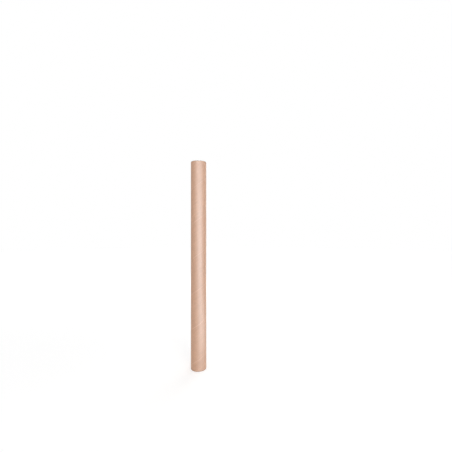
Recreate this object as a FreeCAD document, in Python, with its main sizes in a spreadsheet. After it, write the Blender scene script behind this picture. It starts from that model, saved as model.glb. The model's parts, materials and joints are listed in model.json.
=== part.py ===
import FreeCAD, Part

import math
import os

import Sketcher

# A cardboard mailing tube: a spiral-wound board tube with a moulded plastic plug in each end.
# It stands on the flange of its lower plug. The origin is the centre of that flange's outer face,
# +Z runs up the tube and -Y is its front. All lengths are in millimetres.

SIZES = {
    "tube_length": 720.0,  # board tube, from one cut end to the other
    "bore_diameter": 50.0,  # inside of the board tube
    "wall_thickness": 2.0,  # all plies of the board together
    "cut_edge_break": 0.25,  # softened edge that the cutting knife leaves
    "seam_lead": 120.0,  # rise of a ply in one turn round the tube
    "seam_gap": 0.8,  # gap between two turns of the outer ply, square to the seam
    "outer_ply": 0.3,  # thickness of the outer ply, so the depth of its seam
    "seam_front_height": 38.5,  # lower cut end to where the outer seam first crosses the front
    "flange_thickness": 1.5,  # plug flange that covers the cut end
    "flange_inset": 0.2,  # flange edge inside the tube's outer face
    "flange_edge_break": 0.5,  # outer edge of the flange
    "plug_depth": 18.0,  # plug below its flange
    "plug_wall": 1.2,  # skirt of the plug
    "web_thickness": 1.3,  # closed inner end of the plug
    "plug_clearance": 0.08,  # barb crest to bore, as a radius
    "barb_height": 0.5,  # barb crest over the skirt
    "barb_ramp": 1.8,  # slope of a barb towards the inner end
    "barb_start": 4.5,  # flange to the first barb
    "barb_spacing": 6.0,  # from one barb to the next
    "barb_count": 2,  # barbs round the skirt
    "lead_in_length": 1.6,  # taper that starts the plug into the bore
    "lead_in_depth": 0.8,  # how far that taper narrows the plug
    "mouth_edge_break": 0.8,  # edge of the recess that a finger meets
    "floor_fill": 1.2,  # filled corner between the recess's side and its floor
    "gate_diameter": 3.0,  # stub where the plastic entered the mould
    "gate_height": 0.5,
}

BORE_RADIUS = "sizes.bore_diameter / 2"
TUBE_RADIUS = "(sizes.bore_diameter / 2 + sizes.wall_thickness)"
FLANGE_RADIUS = "(sizes.bore_diameter / 2 + sizes.wall_thickness - sizes.flange_inset)"
CREST_RADIUS = "(sizes.bore_diameter / 2 - sizes.plug_clearance)"
SKIRT_RADIUS = "(sizes.bore_diameter / 2 - sizes.plug_clearance - sizes.barb_height)"
MOUTH_RADIUS = f"({SKIRT_RADIUS} - sizes.plug_wall)"
TIP_HEIGHT = "(sizes.flange_thickness + sizes.plug_depth)"
FLOOR_HEIGHT = f"({TIP_HEIGHT} - sizes.web_thickness)"
LEAD_IN_HEIGHT = f"({TIP_HEIGHT} - sizes.lead_in_length)"
TOUCH = 1e-4  # places closer than this are the same place
SEAM_TOLERANCE = 0.1  # share by which the seam's cut may miss its plain estimate


def fill_sheet(doc):
    """Writes the driving sizes into a spreadsheet, one row each, under their own names."""
    sheet = doc.addObject("Spreadsheet::Sheet", "sizes")
    for row, (name, value) in enumerate(SIZES.items(), start=1):
        sheet.set(f"A{row}", name.replace("_", " "))
        sheet.set(f"B{row}", str(value))
        sheet.setAlias(f"B{row}", name)
    doc.recompute()
    return sheet


def add_body(doc, label):
    body = doc.addObject("PartDesign::Body", label)
    body.Label = label
    return body


def origin_part(body, role):
    """The body's own origin plane or axis with that role."""
    return next(part for part in body.Origin.OriginFeatures if part.Role == role)


def value_of(owner, expression):
    return float(owner.evalExpression(expression))


def pin_corner(sketch, number, across, up, before):
    """Fixes the start of side `number`: on an axis, level with the corner before, or by a size."""
    for place, kind, axis, level, same in (
        (across, "DistanceX", -2, "Vertical", before and before[0] == across),
        (up, "DistanceY", -1, "Horizontal", before and before[1] == up),
    ):
        if place == "0":
            sketch.addConstraint(Sketcher.Constraint("PointOnObject", number, 1, axis))
        elif same:
            sketch.addConstraint(Sketcher.Constraint(level, number - 1))
        else:
            size = Sketcher.Constraint(kind, -1, 1, number, 1, value_of(sketch, place))
            index = sketch.addConstraint(size)
            sketch.setExpression(f"Constraints[{index}]", place)


def section_sketch(body, name, corners):
    """A closed outline in the body's upright XZ plane, from corners (radius, height)."""
    sketch = body.newObject("Sketcher::SketchObject", name)
    sketch.AttachmentSupport = [(origin_part(body, "XZ_Plane"), "")]
    sketch.MapMode = "FlatFace"
    points = [
        FreeCAD.Vector(value_of(sketch, across), value_of(sketch, up), 0)
        for across, up in corners
    ]
    for start, end in zip(points, points[1:] + points[:1]):
        sketch.addGeometry(Part.LineSegment(start, end))
    for number in range(len(corners)):
        follower = (number + 1) % len(corners)
        sketch.addConstraint(Sketcher.Constraint("Coincident", number, 2, follower, 1))
    for number, (across, up) in enumerate(corners):
        before = corners[number - 1] if number else None
        pin_corner(sketch, number, across, up, before)
    return sketch


def revolve(body, name, sketch):
    turned = body.newObject("PartDesign::Revolution", name)
    turned.Profile = sketch
    turned.ReferenceAxis = (sketch, ["V_Axis"])
    turned.Angle = 360
    return turned


def break_rings(body, name, base, rings, size):
    """Bevels the circular edges of `base` that lie at the given (radius, height) places."""
    body.Document.recompute()
    places = [(value_of(base, across), value_of(base, up)) for across, up in rings]
    edges = []
    for number, edge in enumerate(base.Shape.Edges, start=1):
        if not isinstance(edge.Curve, Part.Circle):
            continue
        found = (edge.Curve.Radius, edge.Curve.Center.z)
        if any(math.dist(found, place) < TOUCH for place in places):
            edges.append(f"Edge{number}")
    if len(edges) != len(rings):
        raise RuntimeError(f"{name}: found {len(edges)} of {len(rings)} edges")
    bevel = body.newObject("PartDesign::Chamfer", name)
    bevel.Base = (base, edges)
    bevel.setExpression("Size", size)
    return bevel


def wind_seam(body):
    """Cuts the helical gap that the outer ply leaves between its turns, past both cut ends."""
    slant = f"sqrt(1 + (sizes.seam_lead / (2 * pi * {TUBE_RADIUS}))^2)"
    half_gap = f"sizes.seam_gap / 2 * {slant}"
    # The ply climbs one lead in a turn, so it passes the +X side a quarter lead above the front.
    # The cut starts one lead lower, below the lower cut end.
    middle = "(sizes.seam_front_height - 0.75 * sizes.seam_lead)"
    inner = f"({TUBE_RADIUS} - sizes.outer_ply)"
    outer = f"({TUBE_RADIUS} + sizes.outer_ply)"
    low = f"({middle} - {half_gap})"
    high = f"({middle} + {half_gap})"
    corners = [(inner, low), (outer, low), (outer, high), (inner, high)]
    sketch = section_sketch(body, "seam_section", corners)
    seam = body.newObject("PartDesign::SubtractiveHelix", "seam")
    seam.Profile = sketch
    seam.ReferenceAxis = (sketch, ["V_Axis"])
    seam.Mode = "pitch-height-angle"
    seam.setExpression("Pitch", "sizes.seam_lead")
    seam.setExpression("Height", "sizes.tube_length + 2 * sizes.seam_lead")
    seam.LeftHanded = False
    return seam


def check_seam(seam, board):
    """Compares what the seam took out of the board with its section times its length."""
    lead = value_of(seam, "sizes.seam_lead")
    turns = value_of(seam, "sizes.tube_length") / lead
    length = turns * math.hypot(lead, 2 * math.pi * value_of(seam, TUBE_RADIUS))
    expected = length * value_of(seam, "sizes.seam_gap") * value_of(seam, "sizes.outer_ply")
    taken = board.Shape.Volume - seam.Shape.Volume
    print(f"the seam took {taken:.1f} mm3, expected {expected:.1f} mm3")
    if abs(taken - expected) > SEAM_TOLERANCE * expected:
        raise RuntimeError("the seam doesn't cut the outer ply as it should")


def make_tube(doc):
    """The board tube: a plain wall with softened ends and the seam of its outer ply."""
    body = add_body(doc, "tube")
    wall = [
        (BORE_RADIUS, "0"),
        (TUBE_RADIUS, "0"),
        (TUBE_RADIUS, "sizes.tube_length"),
        (BORE_RADIUS, "sizes.tube_length"),
    ]
    board = revolve(body, "board", section_sketch(body, "wall_section", wall))
    cut_ends = break_rings(body, "cut_ends", board, wall, "sizes.cut_edge_break")
    doc.recompute()
    seam = wind_seam(body)
    body.setExpression("Placement.Base.z", "sizes.flange_thickness")
    doc.recompute()
    check_seam(seam, cut_ends)
    return body


def make_cap(doc, label):
    """A moulded plug: a flange, a skirt with barbs, and a web that closes its inner end.

    It is modelled as it closes the lower end: flange down, skirt up into the tube.
    """
    body = add_body(doc, label)
    shell = [
        (MOUTH_RADIUS, "0"),
        (FLANGE_RADIUS, "0"),
        (FLANGE_RADIUS, "sizes.flange_thickness"),
        (SKIRT_RADIUS, "sizes.flange_thickness"),
        (SKIRT_RADIUS, LEAD_IN_HEIGHT),
        (f"({SKIRT_RADIUS} - sizes.lead_in_depth)", TIP_HEIGHT),
        ("0", TIP_HEIGHT),
        ("0", FLOOR_HEIGHT),
        (MOUTH_RADIUS, FLOOR_HEIGHT),
    ]
    cup = revolve(body, f"{label}_cup", section_sketch(body, f"{label}_shell", shell))
    rim = break_rings(body, f"{label}_rim", cup, [shell[1]], "sizes.flange_edge_break")
    mouth = break_rings(body, f"{label}_mouth", rim, [shell[0]], "sizes.mouth_edge_break")
    break_rings(body, f"{label}_floor", mouth, [shell[8]], "sizes.floor_fill")
    doc.recompute()
    add_barbs(body, label)
    add_gate(body, label)
    doc.recompute()
    return body


def add_barbs(body, label):
    """Rings round the skirt that grip the bore: steep towards the flange, sloped towards the tip."""
    root = f"({SKIRT_RADIUS} - sizes.plug_wall / 2)"
    steep = "(sizes.flange_thickness + sizes.barb_start)"
    tooth = [
        (root, steep),
        (CREST_RADIUS, steep),
        (root, f"({steep} + sizes.barb_ramp)"),
    ]
    sketch = section_sketch(body, f"{label}_tooth", tooth)
    barb = revolve(body, f"{label}_barb", sketch)
    body.Document.recompute()
    barbs = body.newObject("PartDesign::LinearPattern", f"{label}_barbs")
    barbs.Originals = [barb]
    barbs.Direction = (sketch, ["V_Axis"])
    barbs.setExpression("Length", "sizes.barb_spacing * (sizes.barb_count - 1)")
    barbs.setExpression("Occurrences", "sizes.barb_count")
    body.Tip = barbs


def add_gate(body, label):
    """The stub on the recess's floor where the plastic entered the mould."""
    sketch = body.newObject("Sketcher::SketchObject", f"{label}_gate_circle")
    sketch.AttachmentSupport = [(origin_part(body, "XY_Plane"), "")]
    sketch.MapMode = "FlatFace"
    sketch.setExpression("AttachmentOffset.Base.z", FLOOR_HEIGHT)
    diameter = value_of(sketch, "sizes.gate_diameter")
    sketch.addGeometry(Part.Circle(FreeCAD.Vector(), FreeCAD.Vector(0, 0, 1), diameter / 2))
    sketch.addConstraint(Sketcher.Constraint("Coincident", 0, 3, -1, 1))
    index = sketch.addConstraint(Sketcher.Constraint("Diameter", 0, diameter))
    sketch.setExpression(f"Constraints[{index}]", "sizes.gate_diameter")
    stub = body.newObject("PartDesign::Pad", f"{label}_gate")
    stub.Profile = sketch
    stub.Reversed = True
    stub.setExpression("Length", "sizes.gate_height")


def turn_over(cap):
    """Sets a plug on the upper cut end, flange up."""
    cap.Placement = FreeCAD.Placement(
        FreeCAD.Vector(), FreeCAD.Rotation(FreeCAD.Vector(1, 0, 0), 180)
    )
    cap.setExpression("Placement.Base.z", "sizes.tube_length + 2 * sizes.flange_thickness")


def check_and_export(doc, bodies):
    """Stops on any failed object or unsound solid, then writes one STEP file for each piece."""
    for thing in doc.Objects:
        if "Invalid" in thing.State or "Error" in thing.State:
            raise RuntimeError(f"{thing.Name} failed: {thing.State}")
    for body in bodies:
        if body.Shape.isNull() or not body.Shape.isValid() or len(body.Shape.Solids) != 1:
            raise RuntimeError(f"{body.Label} isn't one sound solid")
    os.makedirs("parts", exist_ok=True)
    for body in bodies:
        body.Shape.exportStep(f"parts/{body.Label}.step")
        heights = [corner.Z for corner in body.Shape.Vertexes]
        print(
            f"{body.Label}: {body.Shape.Volume:.0f} mm3, "
            f"z {min(heights):.2f} to {max(heights):.2f}"
        )


def main():
    doc = FreeCAD.newDocument("mailing_tube")
    fill_sheet(doc)
    tube = make_tube(doc)
    bottom_cap = make_cap(doc, "bottom_cap")
    top_cap = make_cap(doc, "top_cap")
    turn_over(top_cap)
    doc.recompute()
    check_and_export(doc, [tube, bottom_cap, top_cap])


main()
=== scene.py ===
# %% [markdown]
# # A cardboard mailing tube
# The real thing is three pieces. A board tube is wound from ribbons of brown kraft paper that run
# round a mandrel like the stripe on a barber's pole, and a white plastic plug is pushed into
# each end. The working model gives the true sizes and the joints. This lesson gives the looks:
# the ribbon's seam, the paper's grain and the soft shine of moulded plastic.
# We load the working model first, because every piece made here has to sit exactly on it. Its
# box is kept and printed at the end.

import json
import math
import random

import bmesh
import bpy
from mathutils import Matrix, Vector


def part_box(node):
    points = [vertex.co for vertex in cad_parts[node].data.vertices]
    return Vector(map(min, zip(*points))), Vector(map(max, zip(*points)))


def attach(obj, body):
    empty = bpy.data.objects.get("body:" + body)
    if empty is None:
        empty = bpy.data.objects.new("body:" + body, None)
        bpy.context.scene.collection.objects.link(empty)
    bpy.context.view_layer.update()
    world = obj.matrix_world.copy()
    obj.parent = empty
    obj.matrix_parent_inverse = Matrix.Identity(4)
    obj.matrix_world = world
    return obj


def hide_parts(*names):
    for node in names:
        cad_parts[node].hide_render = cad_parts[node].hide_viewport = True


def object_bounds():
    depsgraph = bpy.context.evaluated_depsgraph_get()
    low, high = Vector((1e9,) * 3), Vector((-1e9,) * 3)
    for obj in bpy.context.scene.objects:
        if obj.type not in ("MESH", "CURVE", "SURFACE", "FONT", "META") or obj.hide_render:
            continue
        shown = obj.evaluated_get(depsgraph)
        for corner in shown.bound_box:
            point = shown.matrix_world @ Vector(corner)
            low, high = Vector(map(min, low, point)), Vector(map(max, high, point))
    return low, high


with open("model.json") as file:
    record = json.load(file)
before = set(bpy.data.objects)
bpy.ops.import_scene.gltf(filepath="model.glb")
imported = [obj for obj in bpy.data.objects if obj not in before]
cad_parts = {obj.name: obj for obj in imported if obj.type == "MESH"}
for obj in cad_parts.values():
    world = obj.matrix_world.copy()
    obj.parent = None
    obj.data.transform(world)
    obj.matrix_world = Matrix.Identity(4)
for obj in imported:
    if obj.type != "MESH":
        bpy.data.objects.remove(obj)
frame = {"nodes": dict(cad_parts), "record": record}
working_box = [list(corner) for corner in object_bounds()]

# %% [markdown]
# ## Sizes
# Nothing is measured twice. The tube's ends, its outside, its bore and the plugs' flanges are
# read from the working model, so a change there carries over. The bore is the smallest radius
# that any point of the tube has. The seam's place and slope are the working model's own values.

# %% Sizes of the tube and its plugs
MM = 0.001
TURN = 2 * math.pi

barrel = next(m for m in frame["record"]["mounts"] if m["name"] == "barrel")
TUBE_RADIUS = barrel["dims"]["r_mm"] * MM
tube_low, tube_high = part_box("tube")
plug_low, plug_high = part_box("bottom_cap")
tube_points = frame["nodes"]["tube"].data.vertices
BORE_RADIUS = round(min(v.co.xy.length for v in tube_points), 5)
FLANGE_RADIUS = plug_high.x
FLANGE_THICKNESS = tube_low.z
PLUG_TIP = plug_high.z
TOTAL_HEIGHT = working_box[1][2]

SEAM_LEAD = 120 * MM  # rise of the ribbon in one turn
SEAM_HEIGHT = 40 * MM  # where the seam first crosses the front, over the floor
SEAM_SLOPE = math.atan2(SEAM_LEAD, TURN * TUBE_RADIUS)
print(f"tube r {TUBE_RADIUS:.4f} bore r {BORE_RADIUS:.4f} flange r {FLANGE_RADIUS:.4f}")
print(f"seam slope {math.degrees(SEAM_SLOPE):.1f} degrees")

# %% [markdown]
# ## A skin that follows the ribbon
# The outer face could be a plain cylinder with the seam painted on. Light would then slide over
# the seam as if it weren't there. Instead the rows of the mesh climb with the ribbon: each row is
# one helix, and after a full turn it joins the row that lies one lead higher. The seam is then a
# few close rows that dip, with clean edges all the way up.
# The section of the seam is listed: a lip that stands up a hair where the paper ends, a
# steep edge one ply deep, and the ply below on the floor of the gap.

# %% Section of the outer face, along the tube
COLUMNS = 144  # points round the tube

# Each pair is a rise above the seam's middle and a depth under the tube's full radius, in mm.
SEAM_SECTION = [
    (-3.0, 0.060),
    (-1.5, 0.045),
    (-0.8, 0.030),
    (-0.58, 0.040),
    (-0.50, 0.110),
    (-0.45, 0.350),
    (0.0, 0.360),
    (0.45, 0.350),
    (0.50, 0.110),
    (0.58, 0.040),
    (0.8, 0.030),
    (1.5, 0.045),
    (3.0, 0.060),
]
UNDER_SEAM = 64.0  # rise to the furrow where the ply below has its own seam
UNDER_SECTION = [(-2.0, 0.060), (-0.8, 0.085), (0.0, 0.100), (0.8, 0.085), (2.0, 0.060)]
PLAIN_DEPTH = 0.060
PLAIN_STEP = 5.0  # space between the plain rows

GAP_HALF = 0.45 * MM  # half the width of the gap's floor
CUT_HALF = 0.50 * MM  # half the way from one cut paper edge to the other
HAIR = 0.01 * MM  # less than the space between any two rows

FACE, GAP, CUT, LINER = range(4)  # finishes of the board, in the order of its materials


def plain_rows(start, end, depth):
    """Rows of even spacing between two rises, without the two ends."""
    count = max(2, round((end - start) / PLAIN_STEP))
    return [(start + (end - start) * step / count, depth) for step in range(1, count)]


def face_rows():
    """All rows of the outer face in one lead, from just below one seam to just below the next."""
    under = [(UNDER_SEAM + rise, depth) for rise, depth in UNDER_SECTION]
    top = SEAM_LEAD / MM + SEAM_SECTION[0][0]
    below = plain_rows(SEAM_SECTION[-1][0], under[0][0], PLAIN_DEPTH)
    above = plain_rows(under[-1][0], top, PLAIN_DEPTH)
    rows = SEAM_SECTION + below + under + above
    return [(rise * MM, TUBE_RADIUS - depth * MM) for rise, depth in rows]


def face_finish(rise):
    """The finish of the strip that starts at a rise: gap floor, cut paper edge or face."""
    if -GAP_HALF - HAIR < rise < GAP_HALF - HAIR:
        return GAP
    return CUT if -CUT_HALF - HAIR < rise < CUT_HALF - HAIR else FACE


print("rows in one lead:", len(face_rows()))

# %% [markdown]
# ## Winding the skin
# The same winding makes the outer face and the liner inside. It starts two leads below the first
# seam and ends above the tube, and is then cut flat at both ends, as the real tube is cut from a
# longer one by a knife. A wound tube is never perfectly round, so long slow waves of a few
# hundredths of a millimetre go into the radius. They are too small to feel, and the light still
# finds them.

# %% Wind a skin and cut it to length
FIRST_TURN = -2
TURNS = 8
WAVE = 0.008 * MM  # height of each slow wave
SAME_POINT = 1e-7  # metres; closer points are one
SAME_HEIGHT = 1e-6  # metres


def slow_waves(angle, height):
    """How far a real wound tube is from round at one place, in metres."""
    wave = math.sin(2 * angle + 0.7 + 3 * height) + math.sin(3 * angle + 17 * height)
    return WAVE * (wave + math.sin(angle - 41 * height))


def wind_points(skin, rows, seam_height):
    """Points of a helical grid, row by row from the bottom up. Rows are (rise, radius)."""
    grid = []
    for turn in range(FIRST_TURN, FIRST_TURN + TURNS):
        for rise, radius in rows:
            row = []
            for column in range(COLUMNS):
                angle = TURN * column / COLUMNS
                height = seam_height + SEAM_LEAD * (turn + column / COLUMNS) + rise
                reach = radius + slow_waves(angle, height)
                place = (reach * math.sin(angle), -reach * math.cos(angle), height)
                row.append(skin.verts.new(place))
            grid.append(row)
    return grid


def wind_skin(rows, seam_height, finish_of):
    """Faces between the rows of the grid. The last column joins one lead higher."""
    skin = bmesh.new()
    grid = wind_points(skin, rows, seam_height)
    for low in range(len(grid) - 1):
        finish = finish_of(rows[low % len(rows)][0])
        for column in range(COLUMNS):
            lift, after = (0, column + 1) if column + 1 < COLUMNS else (len(rows), 0)
            if low + lift + 1 < len(grid):
                corners = grid[low][column], grid[low + lift][after], grid[low + lift + 1][after]
                face = skin.faces.new((*corners, grid[low + 1][column]))
                face.material_index = finish
    return skin


def cut_flat(skin, height, side):
    """Cuts the skin square at a height and drops what lies beyond, above (1) or below (-1)."""
    bmesh.ops.bisect_plane(
        skin,
        geom=skin.verts[:] + skin.edges[:] + skin.faces[:],
        dist=SAME_POINT,
        plane_co=(0, 0, height),
        plane_no=(0, 0, side),
        clear_outer=True,
    )


def open_loop(skin, height):
    """The edges of the open rim at a height."""
    rim = [e for e in skin.edges if e.is_boundary]
    return [e for e in rim if all(abs(v.co.z - height) < SAME_HEIGHT for v in e.verts)]


# %% [markdown]
# ## Ends of the board
# A cut end is soft: the knife leaves a rounded edge, and the plies show as fine rings. The rim of
# each skin is extruded round a small arc on to the end face. From the outside it goes on inwards
# over the plies, with a shallow groove between each two, until it meets the rim that comes round
# from the bore. The two rims are bridged, and the board is one closed solid.

# %% Round and close the cut ends
EDGE_ROUND = 0.25 * MM
EDGE_STEPS = 4  # points on the arc of a softened edge
PLY = 0.33 * MM  # one ply of the six in the board
FIRST_GROOVE = 1.9 * PLY  # from the outside to the first groove that shows
GROOVES = 4
GROOVE = 0.04 * MM  # depth of a groove
GROOVE_HALF = 0.03 * MM  # half its width
FUZZ = 0.3  # how rough the knife leaves the end, as a share of a groove's depth
rough = random.Random(7)


def extrude_rim(skin, rim, place):
    """Extrudes an open rim and moves each new point to where place() puts it."""
    new = bmesh.ops.extrude_edge_only(skin, edges=rim)["geom"]
    for point in (g for g in new if isinstance(g, bmesh.types.BMVert)):
        point.co = place(point.co)
    for face in {f for g in new if isinstance(g, bmesh.types.BMEdge) for f in g.link_faces}:
        face.material_index = CUT
    return [g for g in new if isinstance(g, bmesh.types.BMEdge) and g.is_boundary]


def at_radius(place, radius, height):
    """The same direction from the axis, at another radius and height."""
    across = place.xy.normalized() * radius
    return Vector((across.x, across.y, height))


def round_rim(skin, rim, end, side, inward):
    """Turns a rim over the softened edge, from the skin to just inside the end face."""
    moved = 0.0
    for step in range(1, EDGE_STEPS + 1):
        angle = math.pi / 2 * step / EDGE_STEPS
        shift = EDGE_ROUND * (1 - math.cos(angle)) - moved
        moved += shift
        height = end - side * (EDGE_ROUND * (1 - math.sin(angle)) + GROOVE / 2)
        rim = extrude_rim(skin, rim, lambda co: at_radius(co, co.xy.length + inward * shift, height))
    return rim


def ply_rings(skin, rim, end, side):
    """Carries the outer rim inwards over the end face, with a fine groove between the plies."""
    for ply in range(GROOVES):
        middle = TUBE_RADIUS - FIRST_GROOVE - ply * PLY
        for limit, depth in ((middle + GROOVE_HALF, 0), (middle, GROOVE), (middle - GROOVE_HALF, 0)):

            def place(co):
                fuzz = rough.uniform(0.0, FUZZ) * GROOVE
                return at_radius(co, min(co.xy.length, limit), end - side * (depth + fuzz))

            rim = extrude_rim(skin, rim, place)
    return rim


# %% [markdown]
# ## The board tube
# The liner is wound with the same lead, but its seam lies half a lead away from the outer one.
# Plies are always staggered so that no two seams fall together, which is what makes the tube
# strong. The two skins become one mesh, and a count of open edges shows that it is closed.

# %% Make the board tube
LINER_SECTION = [(-0.8, 0.0), (-0.4, 0.0), (-0.35, 0.2), (0.35, 0.2), (0.4, 0.0), (0.8, 0.0)]
LINER_CLEAR = 0.05 * MM  # the liner stays this far outside the bore, clear of the plugs


def liner_rows():
    """Rows of the bore in one lead. A depth here goes outwards, into the board."""
    top = SEAM_LEAD / MM + LINER_SECTION[0][0]
    rows = LINER_SECTION + plain_rows(LINER_SECTION[-1][0], top, 0.0)
    return [(rise * MM, BORE_RADIUS + LINER_CLEAR + depth * MM) for rise, depth in rows]


def join_meshes(target, extra):
    """Adds one bmesh to another by way of a passing mesh."""
    passing = bpy.data.meshes.new("passing")
    extra.to_mesh(passing)
    extra.free()
    target.from_mesh(passing)
    bpy.data.meshes.remove(passing)


def cut_height(end, side):
    """Where a skin is cut, so that its rounded edge comes up to the end face."""
    return end - side * (EDGE_ROUND + GROOVE / 2)


def close_end(board, end, side):
    """Rounds both rims at one end, adds the rings of the plies and bridges the two."""
    rims = open_loop(board, cut_height(end, side))
    middle = (TUBE_RADIUS + BORE_RADIUS) / 2
    outer = [e for e in rims if e.verts[0].co.xy.length > middle]
    inner = [e for e in rims if e.verts[0].co.xy.length < middle]
    outer = ply_rings(board, round_rim(board, outer, end, side, -1), end, side)
    inner = round_rim(board, inner, end, side, 1)
    for face in bmesh.ops.bridge_loops(board, edges=outer + inner)["faces"]:
        face.material_index = CUT


def order_faces(shape):
    """Puts the faces in one fixed order, because an extrusion leaves another at each run."""
    ordered = sorted(shape.faces, key=lambda face: tuple(face.calc_center_median()))
    for index, face in enumerate(ordered):
        face.index = index
    shape.faces.sort()


def make_board():
    """The whole board tube as one closed mesh."""
    board = wind_skin(face_rows(), SEAM_HEIGHT, face_finish)
    bore = wind_skin(liner_rows(), SEAM_HEIGHT + SEAM_LEAD / 2, lambda rise: LINER)
    ends = [(tube_low.z, -1), (tube_high.z, 1)]
    for skin in (board, bore):
        for end, side in ends:
            cut_flat(skin, cut_height(end, side), side)
    join_meshes(board, bore)
    for end, side in ends:
        close_end(board, end, side)
    bmesh.ops.remove_doubles(board, verts=board.verts[:], dist=SAME_POINT)
    bmesh.ops.recalc_face_normals(board, faces=board.faces[:])
    order_faces(board)
    return board


# %% Turn a mesh into a finished piece
SHARP_ANGLE = math.radians(35)  # edges that turn more than this stay crisp


def finished_piece(name, shape, body, node):
    """Turns a bmesh into an object that rides on a body and stands for a node of the frame."""
    loose = sum(not e.is_manifold for e in shape.edges)
    mesh = bpy.data.meshes.new(name)
    shape.to_mesh(mesh)
    shape.free()
    mesh.polygons.foreach_set("use_smooth", [True] * len(mesh.polygons))
    mesh.set_sharp_from_angle(angle=SHARP_ANGLE)
    piece = bpy.data.objects.new(name, mesh)
    bpy.context.scene.collection.objects.link(piece)
    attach(piece, body)
    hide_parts(node)
    triangles = sum(len(p.vertices) - 2 for p in mesh.polygons)
    print(f"{name}: {triangles} triangles, {loose} open edges")
    return piece


board_tube = finished_piece("board_tube", make_board(), "tube", "tube")

# %% [markdown]
# ## The plugs
# A plug is moulded polyethylene: a thin cup whose flange covers the cut end of the board, with
# two barbs round its skirt that bite into the bore. Everything about it is round, so one outline
# turned about the axis makes it all. Moulded edges are never sharp. The outline is written
# as plain corners, each with its own radius, and a helper turns every corner into an arc.

# %% Turn an outline into a round piece
ARC_STEPS = 5


def soften(corners):
    """Rounds an outline of (radius, height, rounding) corners. The two ends stay as they are."""
    points = [Vector(corners[0][:2])]
    for before, here, after in zip(corners, corners[1:], corners[2:]):
        corner, rounding = Vector(here[:2]), here[2]
        back = (Vector(before[:2]) - corner).normalized()
        ahead = (Vector(after[:2]) - corner).normalized()
        half = back.angle(ahead) / 2
        centre = corner + (back + ahead).normalized() * (rounding / math.sin(half))
        reach = rounding / math.tan(half)
        start, end = corner + back * reach - centre, corner + ahead * reach - centre
        for step in range(ARC_STEPS + 1):
            arm = start.lerp(end, step / ARC_STEPS).normalized() * rounding
            points.append(centre + arm)
    return points + [Vector(corners[-1][:2])]


def turn_outline(points):
    """Turns an outline about the axis. It starts and ends on the axis, so the piece is closed."""
    shape = bmesh.new()
    rings = []
    for radius, height in points:
        if radius == 0:
            rings.append([shape.verts.new((0, 0, height * MM))] * COLUMNS)
            continue
        angles = [TURN * column / COLUMNS for column in range(COLUMNS)]
        reach = radius * MM
        ring = [(reach * math.cos(a), reach * math.sin(a), height * MM) for a in angles]
        rings.append([shape.verts.new(place) for place in ring])
    for low, high in zip(rings, rings[1:]):
        for column in range(COLUMNS):
            after = (column + 1) % COLUMNS
            corners = [low[column], low[after], high[after], high[column]]
            shape.faces.new(sorted(set(corners), key=corners.index))
    bmesh.ops.recalc_face_normals(shape, faces=shape.faces[:])
    return shape


# %% [markdown]
# The outline below is the lower plug as it stands: flange down, tip up inside the tube. The upper
# plug is the same moulding, turned over and set on the other end.

# %% Make both plugs, with sizes in millimetres
CREST_CLEAR = 0.08  # from a barb's crest to the bore
BARB_DEPTH, BARB_LENGTH = 0.5, 0.818
BARB_RISES = (4.5, 10.5)  # from the flange to the steep side of each barb
WALL, WEB = 1.2, 1.3  # the skirt's wall, and the web that closes the tip
STUB_RADIUS, STUB_HEIGHT = 1.5, 0.5  # where the plastic entered the mould
LEAD_IN, TAPER = 1.6, 0.8  # length and depth of the slope at the tip


def barb_corners(skirt, crest, steep):
    """One barb: a steep side towards the flange and a long slope towards the tip."""
    return [(skirt, steep, 0.1), (crest, steep, 0.06), (skirt, steep + BARB_LENGTH, 0.15)]


def plug_corners():
    """Corners of a plug from the middle of its recess, round the flange, to the middle of its tip."""
    flange, thick, tip = FLANGE_RADIUS / MM, FLANGE_THICKNESS / MM, PLUG_TIP / MM
    crest = BORE_RADIUS / MM - CREST_CLEAR
    skirt = crest - BARB_DEPTH
    mouth = skirt - WALL
    floor = tip - WEB
    stub = floor - STUB_HEIGHT
    corners = [(0, stub, 0), (STUB_RADIUS, stub, 0.2), (STUB_RADIUS, floor, 0.12)]
    corners += [(mouth, floor, 1.2), (mouth, 0, 0.8), (flange, 0, 0.5), (flange, thick, 0.15)]
    corners += [(skirt, thick, 0.3)]
    for rise in BARB_RISES:
        corners += barb_corners(skirt, crest, thick + rise)
    return corners + [(skirt, tip - LEAD_IN, 0.5), (skirt - TAPER, tip, 0.35), (0, tip, 0)]


def make_plug(name, node, turned_over):
    """One plug, on the lower end or turned over on the upper one."""
    shape = turn_outline(soften(plug_corners()))
    if turned_over:
        for point in shape.verts:
            point.co = Vector((point.co.x, -point.co.y, TOTAL_HEIGHT - point.co.z))
    return finished_piece(name, shape, node, node)


lower_plug = make_plug("lower_plug", "bottom_cap", False)
upper_plug = make_plug("upper_plug", "top_cap", True)

# %% [markdown]
# ## Helpers for materials
# Every finish here is made of nodes, so it has no image and no seam, and it can be baked at any
# size. Short helpers keep the node code readable. One adds a node with its inputs, and the next
# few add the kinds of node that are used most. The last two make a group with named inputs and
# outputs, and place it in a material.

# %% Node helpers
def fill_inputs(tree, made, inputs):
    """Sets a node's inputs. Each is a plain value, or the output of another node to be linked."""
    for name, value in inputs.items():
        if isinstance(value, bpy.types.NodeSocket):
            tree.links.new(value, made.inputs[name])
        else:
            made.inputs[name].default_value = value


def add_node(tree, kind, inputs=None, **settings):
    """Adds a node with its settings and inputs."""
    made = tree.nodes.new(kind)
    for name, value in settings.items():
        setattr(made, name, value)
    fill_inputs(tree, made, inputs or {})
    return made


def math_node(tree, operation, *values):
    """A Math node and its result."""
    made = add_node(tree, "ShaderNodeMath", dict(enumerate(values)), operation=operation)
    return made.outputs[0]


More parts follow.
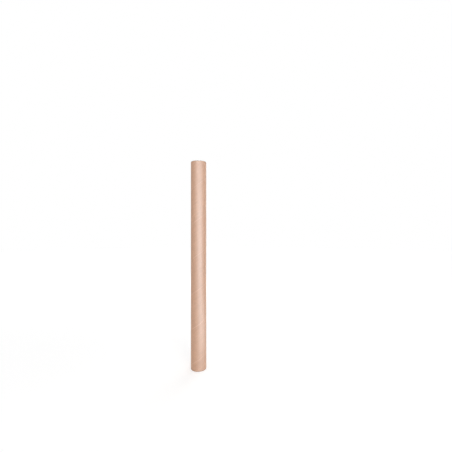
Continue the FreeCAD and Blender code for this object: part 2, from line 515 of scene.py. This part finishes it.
def ramp_node(tree, value, start, end, low=0.0, high=1.0):
    """A smooth step: low until start, high from end on."""
    inputs = {"Value": value, "From Min": start, "From Max": end, "To Min": low, "To Max": high}
    return add_node(tree, "ShaderNodeMapRange", inputs, interpolation_type="SMOOTHSTEP").outputs[0]


def blend_node(tree, amount, first, second, blend="MIX"):
    """Mixes two colours."""
    inputs = {"Factor": amount, 6: first, 7: second}
    made = add_node(tree, "ShaderNodeMix", inputs, data_type="RGBA", blend_type=blend)
    return made.outputs[2]


def noise_node(tree, place, scale, detail=2.0, rough_share=0.5):
    """A noise with so many features to a metre."""
    inputs = {"Vector": place, "Scale": scale, "Detail": detail, "Roughness": rough_share}
    return add_node(tree, "ShaderNodeTexNoise", inputs).outputs["Fac"]


def stretched(tree, place, scale):
    """The same coordinates, squeezed by a factor along each axis."""
    inputs = {0: place, 1: scale}
    return add_node(tree, "ShaderNodeVectorMath", inputs, operation="MULTIPLY").outputs[0]


def turned(tree, place, angle):
    """The same coordinates, turned in their own plane."""
    inputs = {"Vector": place, "Angle": angle}
    return add_node(tree, "ShaderNodeVectorRotate", inputs, rotation_type="Z_AXIS").outputs[0]


# %% Group helpers
def new_group(name, inputs, outputs):
    """An empty group. Inputs and outputs are names with their kinds of socket."""
    tree = bpy.data.node_groups.new(name, "ShaderNodeTree")
    for direction, sockets in (("INPUT", inputs), ("OUTPUT", outputs)):
        for label, kind in sockets.items():
            tree.interface.new_socket(label, in_out=direction, socket_type="NodeSocket" + kind)
    return tree, tree.nodes.new("NodeGroupInput").outputs, tree.nodes.new("NodeGroupOutput").inputs


def place_group(tree, group, **inputs):
    """Places a group. An underscore in an input's name stands for a space."""
    made = tree.nodes.new("ShaderNodeGroup")
    made.node_tree = group
    fill_inputs(tree, made, {name.replace("_", " "): value for name, value in inputs.items()})
    return made.outputs


# %% [markdown]
# ## Where a point lies on the ribbon
# Paper has a direction: its fibres lie along the ribbon, and the ribbon climbs round the tube. A
# texture in plain coordinates would cut across it. This group works out, for any point, how far
# along the ribbon and how far across it that point is, as if the tube were unwound and laid flat.
# The angle round the tube, taken off the height in leads, leaves a whole number for the turn and
# a fraction for the place between one seam and the next.

# %% Node group: wound paper
def wound_paper_group():
    """Puts out the place along and across the ribbon, the rise over the seam, and the plain place."""
    sockets = {"Lead": "Float", "Seam Height": "Float", "Radius": "Float", "Slope": "Float"}
    outputs = {"Ribbon": "Vector", "Rise": "Float", "Place": "Vector"}
    tree, given, result = new_group("wound_paper", sockets, outputs)
    place = tree.nodes.new("ShaderNodeTexCoord").outputs["Object"]
    x, y, z = add_node(tree, "ShaderNodeSeparateXYZ", {0: place}).outputs
    angle = math_node(tree, "ARCTAN2", x, math_node(tree, "MULTIPLY", y, -1.0))
    turns = math_node(tree, "DIVIDE", angle, TURN)
    height = math_node(tree, "SUBTRACT", z, given["Seam Height"])
    leads = math_node(tree, "DIVIDE", height, given["Lead"])
    wraps = math_node(tree, "SUBTRACT", leads, turns)
    rise = math_node(tree, "MULTIPLY", math_node(tree, "FRACT", wraps), given["Lead"])
    unwound = math_node(tree, "ADD", turns, math_node(tree, "FLOOR", wraps))
    turned_by = math_node(tree, "MULTIPLY", unwound, TURN)
    round_length = math_node(tree, "MULTIPLY", turned_by, given["Radius"])
    cosine = math_node(tree, "COSINE", given["Slope"])
    sine = math_node(tree, "SINE", given["Slope"])
    straight = math_node(tree, "DIVIDE", round_length, cosine)
    along = math_node(tree, "MULTIPLY_ADD", rise, sine, straight)
    across = math_node(tree, "MULTIPLY", rise, cosine)
    ribbon = add_node(tree, "ShaderNodeCombineXYZ", {0: along, 1: across})
    tree.links.new(ribbon.outputs[0], result["Ribbon"])
    tree.links.new(rise, result["Rise"])
    tree.links.new(place, result["Place"])
    return tree


wound_paper = wound_paper_group()
print("wound paper:", len(wound_paper.nodes), "nodes")


def ribbon_place(tree, radius, seam_height):
    """Places the group for a ply at that radius."""
    slope = math.atan2(SEAM_LEAD, TURN * radius)
    return place_group(
        tree, wound_paper, Lead=SEAM_LEAD, Seam_Height=seam_height, Radius=radius, Slope=slope
    )


# %% [markdown]
# ## Fibres
# Kraft paper is a felt of wood fibres. Held to the light it is cloudy, because the fibres settle
# in loose clumps, and the paper machine drags the clumps into faint stripes along the ribbon.
# Close up there are threads, pale and dark, a tenth of a millimetre wide, and here and there a
# speck of bark. Noise alone is a soft grey fog, so each one is pushed through a ramp that
# spreads its middle values. The group gives every effect as its own value, and each material
# uses as much of each as it needs.

# %% Node group: paper fibres
FIBRE_LEANS = (0.24, -0.33)  # how far the two layers of threads lean from the ribbon, in radians
CLOUD_RANGE = (0.36, 0.64)  # the middle values of the noise, which a ramp spreads out
THREAD_RANGE = (0.42, 0.70)
SPECK_CELLS = 380.0  # places along a metre where a speck may lie


def thread_layer(tree, place, lean, scale):
    """Long threads that lean a little from the ribbon."""
    drawn_out = stretched(tree, turned(tree, place, lean), (0.08, 1, 1))
    return noise_node(tree, drawn_out, scale, 2.0, 0.6)


def bark_specks(tree, place, share):
    """Small dots in a share of the cells of a Voronoi pattern, each with its own size."""
    inputs = {"Vector": stretched(tree, place, (0.5, 1, 1)), "Scale": SPECK_CELLS}
    cells = add_node(tree, "ShaderNodeTexVoronoi", inputs, voronoi_dimensions="2D")
    lot = add_node(tree, "ShaderNodeSeparateColor", {0: cells.outputs["Color"]}).outputs
    chosen = math_node(tree, "LESS_THAN", lot[0], share)
    size = math_node(tree, "MULTIPLY_ADD", lot[1], 0.08, 0.03)
    core = math_node(tree, "MULTIPLY", size, 0.5)
    dot = ramp_node(tree, cells.outputs["Distance"], core, size, 1.0, 0.0)
    return math_node(tree, "MULTIPLY", dot, chosen)


def paper_fibres_group():
    """Puts out clouds, threads, a height for the bump and specks of bark."""
    sockets = {"Place": "Vector", "Fibre Width": "Float", "Cloud Size": "Float", "Specks": "Float"}
    outputs = {"Cloud": "Float", "Thread": "Float", "Height": "Float", "Speck": "Float"}
    tree, given, result = new_group("paper_fibres", sockets, outputs)
    cloud_scale = math_node(tree, "DIVIDE", 1.0, given["Cloud Size"])
    clump = noise_node(tree, stretched(tree, given["Place"], (0.45, 1, 1)), cloud_scale, 5.0, 0.62)
    stripe = noise_node(tree, stretched(tree, given["Place"], (0.03, 2, 1)), cloud_scale, 3.0, 0.6)
    mixed = math_node(tree, "MULTIPLY_ADD", stripe, 0.4, math_node(tree, "MULTIPLY", clump, 0.6))
    tree.links.new(ramp_node(tree, mixed, *CLOUD_RANGE), result["Cloud"])
    thread_scale = math_node(tree, "DIVIDE", 0.5, given["Fibre Width"])
    layers = [thread_layer(tree, given["Place"], lean, thread_scale) for lean in FIBRE_LEANS]
    long_ones = math_node(tree, "MAXIMUM", *layers)
    tree.links.new(ramp_node(tree, long_ones, *THREAD_RANGE), result["Thread"])
    grain = noise_node(tree, stretched(tree, given["Place"], (0.4, 1, 1)), thread_scale, 2.0, 0.7)
    height = math_node(tree, "MULTIPLY_ADD", grain, 0.5, math_node(tree, "MULTIPLY", long_ones, 0.5))
    tree.links.new(height, result["Height"])
    tree.links.new(bark_specks(tree, given["Place"], given["Specks"]), result["Speck"])
    return tree


paper_fibres = paper_fibres_group()
print("paper fibres:", len(paper_fibres.nodes), "nodes")

# %% [markdown]
# ## Handling
# A mailing tube is carried, stacked and rubbed against others. Both the board and the plastic
# show it as soft patches that are a little rougher, with a few fine scuffs inside them. One group
# serves both: a slow noise picks the patches, and a fast stretched one draws the scuffs.

# %% Node group: handling wear
SCUFF_SCALE = 2600.0  # scuffs to a metre, across them
SCUFF_RANGE = (0.60, 0.68)


def handling_wear_group():
    """Puts out rubbed patches, and the scuffs inside them."""
    sockets = {"Place": "Vector", "Patch Size": "Float", "Share": "Float"}
    tree, given, result = new_group("handling_wear", sockets, {"Rub": "Float", "Scuff": "Float"})
    scale = math_node(tree, "DIVIDE", 1.0, given["Patch Size"])
    patches = noise_node(tree, given["Place"], scale, 3.0, 0.55)
    start = math_node(tree, "SUBTRACT", 0.72, math_node(tree, "MULTIPLY", given["Share"], 0.4))
    rub = ramp_node(tree, patches, start, math_node(tree, "ADD", start, 0.18))
    fine = noise_node(tree, stretched(tree, given["Place"], (1, 1, 0.08)), SCUFF_SCALE, 2.0, 0.6)
    lines = ramp_node(tree, fine, *SCUFF_RANGE)
    tree.links.new(rub, result["Rub"])
    tree.links.new(math_node(tree, "MULTIPLY", rub, lines), result["Scuff"])
    return tree


handling_wear = handling_wear_group()
print("handling wear:", len(handling_wear.nodes), "nodes")

# %% [markdown]
# ## Marks of the seam
# Where a ribbon's edge lies, the paper is pressed and rubbed on the raised lip and looks paler.
# The pale line is also a painted highlight, for the light that the raised lip catches. The liner
# has the same mark, only fainter. The group measures how far a point is from the nearest seam, up
# or down, and gives a soft line of a set width. A second pair of values gives a soft band between
# two rises, where the paper is made darker, just below the next seam.

# %% Node group: seam marks
BAND_FADE = 4 * MM  # how softly the band starts and ends


def seam_marks_group():
    """Puts out a line over the seam, and a band between two rises."""
    labels = ("Rise", "Lead", "Line Width", "Band Start", "Band End")
    sockets = {label: "Float" for label in labels}
    tree, given, result = new_group("seam_marks", sockets, {"Line": "Float", "Band": "Float"})
    rest = math_node(tree, "SUBTRACT", given["Lead"], given["Rise"])
    nearest = math_node(tree, "MINIMUM", given["Rise"], rest)
    # the line stands for rubbed paper and for a painted highlight on the seam's raised lip
    line = ramp_node(tree, nearest, 0.0, given["Line Width"], 1.0, 0.0)
    early = math_node(tree, "ADD", given["Band Start"], BAND_FADE)
    fade_in = ramp_node(tree, given["Rise"], given["Band Start"], early)
    late = math_node(tree, "SUBTRACT", given["Band End"], BAND_FADE)
    fade_out = ramp_node(tree, given["Rise"], late, given["Band End"], 1.0, 0.0)
    tree.links.new(line, result["Line"])
    tree.links.new(math_node(tree, "MULTIPLY", fade_in, fade_out), result["Band"])
    return tree


seam_marks = seam_marks_group()
print("seam marks:", len(seam_marks.nodes), "nodes")

# %% [markdown]
# ## From effects to a finish
# A finish starts from one Principled shader. What is the same all over the surface is set on the
# shader itself. What changes comes through nodes. Each effect multiplies the colour by a factor,
# so a dark speck on a pale seam is both, as it is on real paper, and a height becomes a bump.

# %% Finish helpers
def new_material(name, **constants):
    """A material with one Principled shader. Values that don't vary are set on its own sockets."""
    material = bpy.data.materials.new(name)
    material.use_nodes = True
    shader = material.node_tree.nodes["Principled BSDF"]
    for label, value in constants.items():
        shader.inputs[label.replace("_", " ")].default_value = value
    return material, material.node_tree, shader.inputs


def add_bump(tree, shader, height, depth):
    """Feeds a height into the shader's normal. Depth is how high a full step stands, in metres."""
    inputs = {"Height": height, "Distance": depth, "Strength": 1.0}
    bump = add_node(tree, "ShaderNodeBump", inputs)
    tree.links.new(bump.outputs[0], shader["Normal"])


def grey(value):
    """A colour without hue, for values that are mixed like colours."""
    return (value, value, value, 1)


SAME = grey(1.0)  # leaves a colour as it is


def shade_by(tree, colour, *effects):
    """Multiplies a colour by a factor for each effect, which is (amount, low, high)."""
    for amount, low, high in effects:
        factor = blend_node(tree, amount, low, high)
        colour = blend_node(tree, 1.0, colour, factor, "MULTIPLY")
    return colour


# %% [markdown]
# ## The board's face
# The face ply is smooth, hard-pressed kraft with a slight glaze, so it has a wide pale sheen
# under a soft lamp. Its colour starts as warm brown. The clouds and streaks move it a little up
# and down, a band below each seam makes it darker and yellower, and the seam's lip makes it
# paler, partly as rubbed paper and partly as a painted highlight of the light that the lip catches.
# Near the two cut ends, where fingers and plugs have rubbed, it is a touch duller.

# %% Marks that only the face has
RUBBED_END = 7 * MM  # how far the worn strip reaches from each cut end
UNDER_SEAM_REACH = 5 * MM  # how far the dark line over the lower seam spreads


def under_line(tree, rise):
    """A faint dark line where the ply below has its own seam."""
    away = math_node(tree, "ABSOLUTE", math_node(tree, "SUBTRACT", rise, UNDER_SEAM * MM))
    return ramp_node(tree, away, 0.0, UNDER_SEAM_REACH, 1.0, 0.0)


def end_dust(tree, place):
    """A mask that is 1 at the two cut ends and fades away from them."""
    height = add_node(tree, "ShaderNodeSeparateXYZ", {0: place}).outputs[2]
    middle = (tube_low.z + tube_high.z) / 2
    away = math_node(tree, "ABSOLUTE", math_node(tree, "SUBTRACT", height, middle))
    half = (tube_high.z - tube_low.z) / 2
    return ramp_node(tree, away, half - RUBBED_END, half)


# %% Material: kraft face
KRAFT = (0.642, 0.366, 0.232, 1)
FIBRE_WIDTH = 0.12 * MM  # of the outer plies


def kraft_colour(tree, wound, fibres, wear, marks):
    """The kraft's colour with all its effects."""
    return shade_by(
        tree,
        KRAFT,
        (fibres["Cloud"], grey(0.95), grey(1.05)),
        (fibres["Thread"], (0.93, 0.92, 0.91, 1), grey(1.08)),
        (marks["Band"], SAME, (0.994, 0.983, 0.975, 1)),
        (under_line(tree, wound["Rise"]), SAME, (0.985, 0.98, 0.975, 1)),
        # paler over the seam: rubbed paper and a painted highlight of the lip
        (marks["Line"], SAME, (1.068, 1.09, 1.102, 1)),
        (wear["Rub"], SAME, (1.02, 1.025, 1.03, 1)),
        (end_dust(tree, wound["Place"]), SAME, grey(0.93)),
        (fibres["Speck"], SAME, (0.72, 0.66, 0.6, 1)),
    )


def kraft_roughness(tree, fibres, wear):
    """A little rougher in the clouds, where it is rubbed, and along scuffs."""
    cloudy = math_node(tree, "MULTIPLY_ADD", fibres["Cloud"], 0.08, 0.54)
    worn = math_node(tree, "MULTIPLY_ADD", wear["Rub"], 0.08, cloudy)
    return math_node(tree, "MULTIPLY_ADD", wear["Scuff"], 0.1, worn)


def make_kraft_face():
    """The outer face of the board."""
    material, tree, shader = new_material("kraft_face", IOR=1.6, Specular_IOR_Level=0.6)
    wound = ribbon_place(tree, TUBE_RADIUS, SEAM_HEIGHT)
    fibres = place_group(
        tree, paper_fibres, Place=wound["Ribbon"],
        Fibre_Width=FIBRE_WIDTH, Cloud_Size=9 * MM, Specks=0.16,
    )
    wear = place_group(tree, handling_wear, Place=wound["Place"], Patch_Size=60 * MM, Share=0.35)
    marks = place_group(
        tree, seam_marks, Rise=wound["Rise"], Lead=SEAM_LEAD, Line_Width=4.0 * MM,
        Band_Start=88 * MM, Band_End=114 * MM,
    )
    tree.links.new(kraft_colour(tree, wound, fibres, wear, marks), shader["Base Color"])
    tree.links.new(kraft_roughness(tree, fibres, wear), shader["Roughness"])
    height = math_node(tree, "MULTIPLY_ADD", fibres["Cloud"], 0.5, fibres["Height"])
    add_bump(tree, shader, height, 0.05 * MM)
    return material


kraft_face = make_kraft_face()
print("kraft face:", len(kraft_face.node_tree.nodes), "nodes")

# %% [markdown]
# ## The other papers of the board
# Three finishes share the same fibres with their own values. The floor of the seam is the ply
# below, which has no glaze. The cut end shows all plies as rings, so its colour depends on the
# distance from the axis. The liner is a plain, rougher and greyer board that nobody sees until
# a plug is out.

# %% Material: seam floor
PLY_BELOW = (0.76, 0.50, 0.355, 1)


def make_seam_floor():
    """The ply below, on the floor of the seam's gap."""
    material, tree, shader = new_material("seam_floor", IOR=1.5)
    wound = ribbon_place(tree, TUBE_RADIUS, SEAM_HEIGHT)
    fibres = place_group(
        tree, paper_fibres, Place=wound["Ribbon"],
        Fibre_Width=FIBRE_WIDTH, Cloud_Size=5 * MM, Specks=0.1,
    )
    colour = shade_by(tree, PLY_BELOW, (fibres["Cloud"], grey(0.9), grey(1.1)))
    tree.links.new(colour, shader["Base Color"])
    tree.links.new(math_node(tree, "MULTIPLY_ADD", fibres["Thread"], 0.2, 0.65), shader["Roughness"])
    add_bump(tree, shader, fibres["Height"], 0.03 * MM)
    return material


# %% Material: cut end
BOARD_INSIDE = (0.56, 0.40, 0.28, 1)
GLUE_LINE = (0.34, 0.48)  # where glue starts and is darkest, in plies from a ply's middle


def make_cut_end():
    """The knife's cut through the plies."""
    material, tree, shader = new_material("cut_end", IOR=1.45, Specular_IOR_Level=0.3)
    place = tree.nodes.new("ShaderNodeTexCoord").outputs["Object"]
    fibres = place_group(
        tree, paper_fibres, Place=place, Fibre_Width=0.1 * MM, Cloud_Size=4 * MM, Specks=0.1
    )
    flat = stretched(tree, place, (1, 1, 0))
    radius = add_node(tree, "ShaderNodeVectorMath", {0: flat}, operation="LENGTH").outputs["Value"]
    wavy = math_node(tree, "MULTIPLY_ADD", fibres["Cloud"], 0.08 * MM, radius)
    plies = math_node(tree, "DIVIDE", math_node(tree, "SUBTRACT", wavy, BORE_RADIUS), PLY)
    share = math_node(tree, "FRACT", plies)
    middle = math_node(tree, "ABSOLUTE", math_node(tree, "SUBTRACT", share, 0.5))
    colour = shade_by(
        tree,
        BOARD_INSIDE,
        (fibres["Cloud"], grey(0.85), grey(1.15)),
        (ramp_node(tree, middle, *GLUE_LINE), SAME, (0.74, 0.70, 0.66, 1)),
    )
    tree.links.new(colour, shader["Base Color"])
    tree.links.new(math_node(tree, "MULTIPLY_ADD", fibres["Thread"], 0.15, 0.8), shader["Roughness"])
    add_bump(tree, shader, fibres["Height"], 0.05 * MM)
    return material


# %% Material: liner
LINER_BOARD = (0.47, 0.35, 0.25, 1)


def make_liner():
    """The innermost ply, which lines the bore."""
    material, tree, shader = new_material("liner", IOR=1.45, Specular_IOR_Level=0.35)
    wound = ribbon_place(tree, BORE_RADIUS, SEAM_HEIGHT + SEAM_LEAD / 2)
    fibres = place_group(
        tree, paper_fibres, Place=wound["Ribbon"], Fibre_Width=0.2 * MM, Cloud_Size=8 * MM, Specks=0.3
    )
    marks = place_group(
        tree, seam_marks, Rise=wound["Rise"], Lead=SEAM_LEAD, Line_Width=1.5 * MM,
        Band_Start=100 * MM, Band_End=116 * MM,
    )
    colour = shade_by(
        tree,
        LINER_BOARD,
        (fibres["Cloud"], grey(0.86), grey(1.14)),
        # paler over the seam: rubbed paper and a painted highlight of the lip, as on the face
        (marks["Line"], SAME, grey(1.12)),
        (marks["Band"], SAME, grey(0.94)),
        (fibres["Speck"], SAME, grey(0.6)),
    )
    tree.links.new(colour, shader["Base Color"])
    tree.links.new(math_node(tree, "MULTIPLY_ADD", fibres["Thread"], 0.15, 0.75), shader["Roughness"])
    add_bump(tree, shader, fibres["Height"], 0.04 * MM)
    return material


for finish in (kraft_face, make_seam_floor(), make_cut_end(), make_liner()):
    board_tube.data.materials.append(finish)
print("finishes of the board:", [m.name for m in board_tube.data.materials])

# %% [markdown]
# ## Moulded polyethylene
# The plugs are milky white plastic with a fine matt skin from the mould. It is never one flat
# white: the melt leaves faint clouds where it cooled at different speeds, and the flange picks up
# scuffs. A small dimple pattern in the height keeps the shine broad and soft.

# %% Material: plug plastic
PLASTIC = (0.87, 0.87, 0.85, 1)
MELT_SCALE, SKIN_SCALE = 45.0, 2400.0  # clouds and dimples to a metre


def make_plug_plastic():
    """Milky white polyethylene with a fine matt skin."""
    material, tree, shader = new_material("plug_plastic", IOR=1.51)
    place = tree.nodes.new("ShaderNodeTexCoord").outputs["Object"]
    wear = place_group(tree, handling_wear, Place=place, Patch_Size=14 * MM, Share=0.5)
    melt = noise_node(tree, place, MELT_SCALE, 2.0, 0.5)
    skin = noise_node(tree, place, SKIN_SCALE, 2.0, 0.6)
    clouded = (melt, grey(0.97), grey(1.03))
    scuffed = (wear["Scuff"], SAME, grey(0.93))
    tree.links.new(shade_by(tree, PLASTIC, clouded, scuffed), shader["Base Color"])
    rough_base = math_node(tree, "MULTIPLY_ADD", melt, 0.08, 0.38)
    tree.links.new(math_node(tree, "MULTIPLY_ADD", wear["Rub"], 0.1, rough_base), shader["Roughness"])
    height = math_node(tree, "MULTIPLY_ADD", wear["Scuff"], -0.5, skin)
    add_bump(tree, shader, height, 0.012 * MM)
    return material


plug_plastic = make_plug_plastic()
for plug in (lower_plug, upper_plug):
    plug.data.materials.append(plug_plastic)
print("plug plastic:", len(plug_plastic.node_tree.nodes), "nodes")

# %% [markdown]
# ## The stage
# The tube stands on a plain white floor in a white studio. The backdrop has to be white without
# more lamps on the tube, so rays from the camera see a world of strength 1, and so do shiny
# reflections, while the light that the world gives off is plainer. The floor does the same with a
# little glow that only those rays see. What light falls on it still shows, so the tube
# keeps its shadow.

# %% Floor and world
AMBIENT = 0.60  # plain light from all sides
NEAR_GLOW, FAR_GLOW = 0.40, 0.53  # what the floor gives off itself, near the tube and far away
GLOW_START, GLOW_END = 0.3, 2.5  # metres from the tube
FLOOR_RADIUS = 9.0
FLOOR_WHITE = (0.8, 0.8, 0.8, 1)


def seen_directly(tree):
    """1 for rays that show the background as it is: camera, mirror-like and clear ones."""
    path = tree.nodes.new("ShaderNodeLightPath").outputs
    shown = math_node(tree, "MAXIMUM", path["Is Camera Ray"], path["Is Glossy Ray"])
    return math_node(tree, "MAXIMUM", shown, path["Is Transmission Ray"])


def make_world():
    """White where it is seen, and plainer where it lights the tube."""
    world = bpy.data.worlds.new("studio")
    world.use_nodes = True
    tree = world.node_tree
    background = tree.nodes["Background"]
    background.inputs["Color"].default_value = (1, 1, 1, 1)
    strength = math_node(tree, "MULTIPLY_ADD", seen_directly(tree), 1.0 - AMBIENT, AMBIENT)
    tree.links.new(strength, background.inputs["Strength"])
    bpy.context.scene.world = world


def floor_paint():
    """Matt white, with a glow that only the rays that see it directly get."""
    material, tree, shader = new_material("floor_paint", Roughness=0.9, Specular_IOR_Level=0.1)
    shader["Base Color"].default_value = FLOOR_WHITE
    shader["Emission Color"].default_value = grey(1.0)
    place = tree.nodes.new("ShaderNodeTexCoord").outputs["Object"]
    away = add_node(tree, "ShaderNodeVectorMath", {0: place}, operation="LENGTH").outputs["Value"]
    own = ramp_node(tree, away, GLOW_START, GLOW_END, NEAR_GLOW, FAR_GLOW)
    glow = math_node(tree, "MULTIPLY", seen_directly(tree), own)
    tree.links.new(glow, shader["Emission Strength"])
    return material


def make_floor():
    """A flat round floor, so large that its edge is out of view."""
    shape = bmesh.new()
    bmesh.ops.create_circle(shape, cap_ends=True, segments=96, radius=FLOOR_RADIUS)
    mesh = bpy.data.meshes.new("floor")
    shape.to_mesh(mesh)
    shape.free()
    floor = bpy.data.objects.new("floor", mesh)
    bpy.context.scene.collection.objects.link(floor)
    mesh.materials.append(floor_paint())


make_world()
make_floor()
print(f"floor: {FLOOR_RADIUS} m in radius, world: {AMBIENT} of plain light")

# %% [markdown]
# ## Light
# A tall softbox stands to the right of the camera. An upright cylinder mirrors only what stands
# level with the eye, so the softbox reaches from the floor to well over the tube: a lamp high
# above would light the tube and leave no sheen down its front. A second one behind the tube keeps
# its far side from going dull. A photographer then widens the sheen with white cards: a broad one
# beside the softbox, a high one to the left and a low one close by on the right. The cards here
# show in reflections alone, so they shape the sheen and leave the plain level of light as it is.
# Angles go round from the camera's side in degrees, sizes are in metres and power is in watts.

# %% Softboxes and cards
SOFTBOXES = {
    "softbox": {"azimuth": 20, "distance": 1.8, "height": 1.0, "size": (0.9, 2.0), "power": 11.0},
    "back_box": {"azimuth": 155, "distance": 2.0, "height": 0.8, "size": (1.2, 1.6), "power": 12.0},
}
CARDS = {
    "card": {"azimuth": 27, "distance": 1.9, "height": 0.45, "size": (2.2, 0.9), "power": 94.0},
    "high_card": {"azimuth": -15, "distance": 1.9, "height": 1.35, "size": (0.6, 0.8), "power": 32.0},
    "low_card": {"azimuth": 62, "distance": 0.33, "height": 0.04, "size": (0.45, 0.08), "power": 1.6},
}
CARD_COLOURS = {"card": (0.84, 0.93, 1.0)}  # a little cooler than the rest


def add_panel(name, azimuth, distance, height, size, power):
    """An area lamp on a stand, turned towards the middle of the tube."""
    data = bpy.data.lights.new(name, "AREA")
    data.shape = "RECTANGLE"
    data.size, data.size_y = size
    data.energy = power
    data.color = CARD_COLOURS.get(name, (1, 1, 1))
    panel = bpy.data.objects.new(name, data)
    bpy.context.scene.collection.objects.link(panel)
    turned_by = math.radians(azimuth)
    panel.location = (distance * math.sin(turned_by), -distance * math.cos(turned_by), height)
    away = panel.location - Vector((0, 0, TOTAL_HEIGHT / 2))
    panel.rotation_mode = "QUATERNION"
    panel.rotation_quaternion = away.to_track_quat("Z", "Y")
    panel.visible_camera = False
    return panel


for name, stand in SOFTBOXES.items():
    add_panel(name, **stand)
for name, stand in CARDS.items():
    add_panel(name, **stand).visible_diffuse = False
print("lamps:", *SOFTBOXES, *CARDS)

# %% [markdown]
# ## Camera
# The camera looks level at the tube from a little under two thirds of its height, and slightly
# from the right of it. Its lens is wide, because the photograph was taken close by. A small shift
# upwards frames the tube as the photograph does and keeps its sides parallel.

# %% Camera
PHOTO_SIDE = 452  # pixels along each side of the picture
FOCAL = 268  # focal length in the same pixels
HORIZON_ROW = 235.2  # the row of the picture that lies level with the camera
SENSOR = 36.0  # millimetres
CAMERA_PLACE = (0.0960, -0.940, 0.467)
LEVEL = (math.radians(90), 0, 0)

camera_data = bpy.data.cameras.new("camera")
camera_data.sensor_width = SENSOR
camera_data.lens = FOCAL / PHOTO_SIDE * SENSOR
camera_data.shift_y = (HORIZON_ROW - PHOTO_SIDE / 2) / PHOTO_SIDE
camera = bpy.data.objects.new("camera", camera_data)
camera.location = CAMERA_PLACE
camera.rotation_euler = LEVEL
bpy.context.scene.collection.objects.link(camera)
bpy.context.scene.camera = camera
bpy.context.scene.view_settings.view_transform = "Standard"
print(f"lens {camera_data.lens:.2f} mm, shift {camera_data.shift_y:.3f}")

# %% [markdown]
# ## Finish
# The looks must not be bigger than the working model, so its box is printed.

# %% Sizes and finish
print("working model:", working_box)
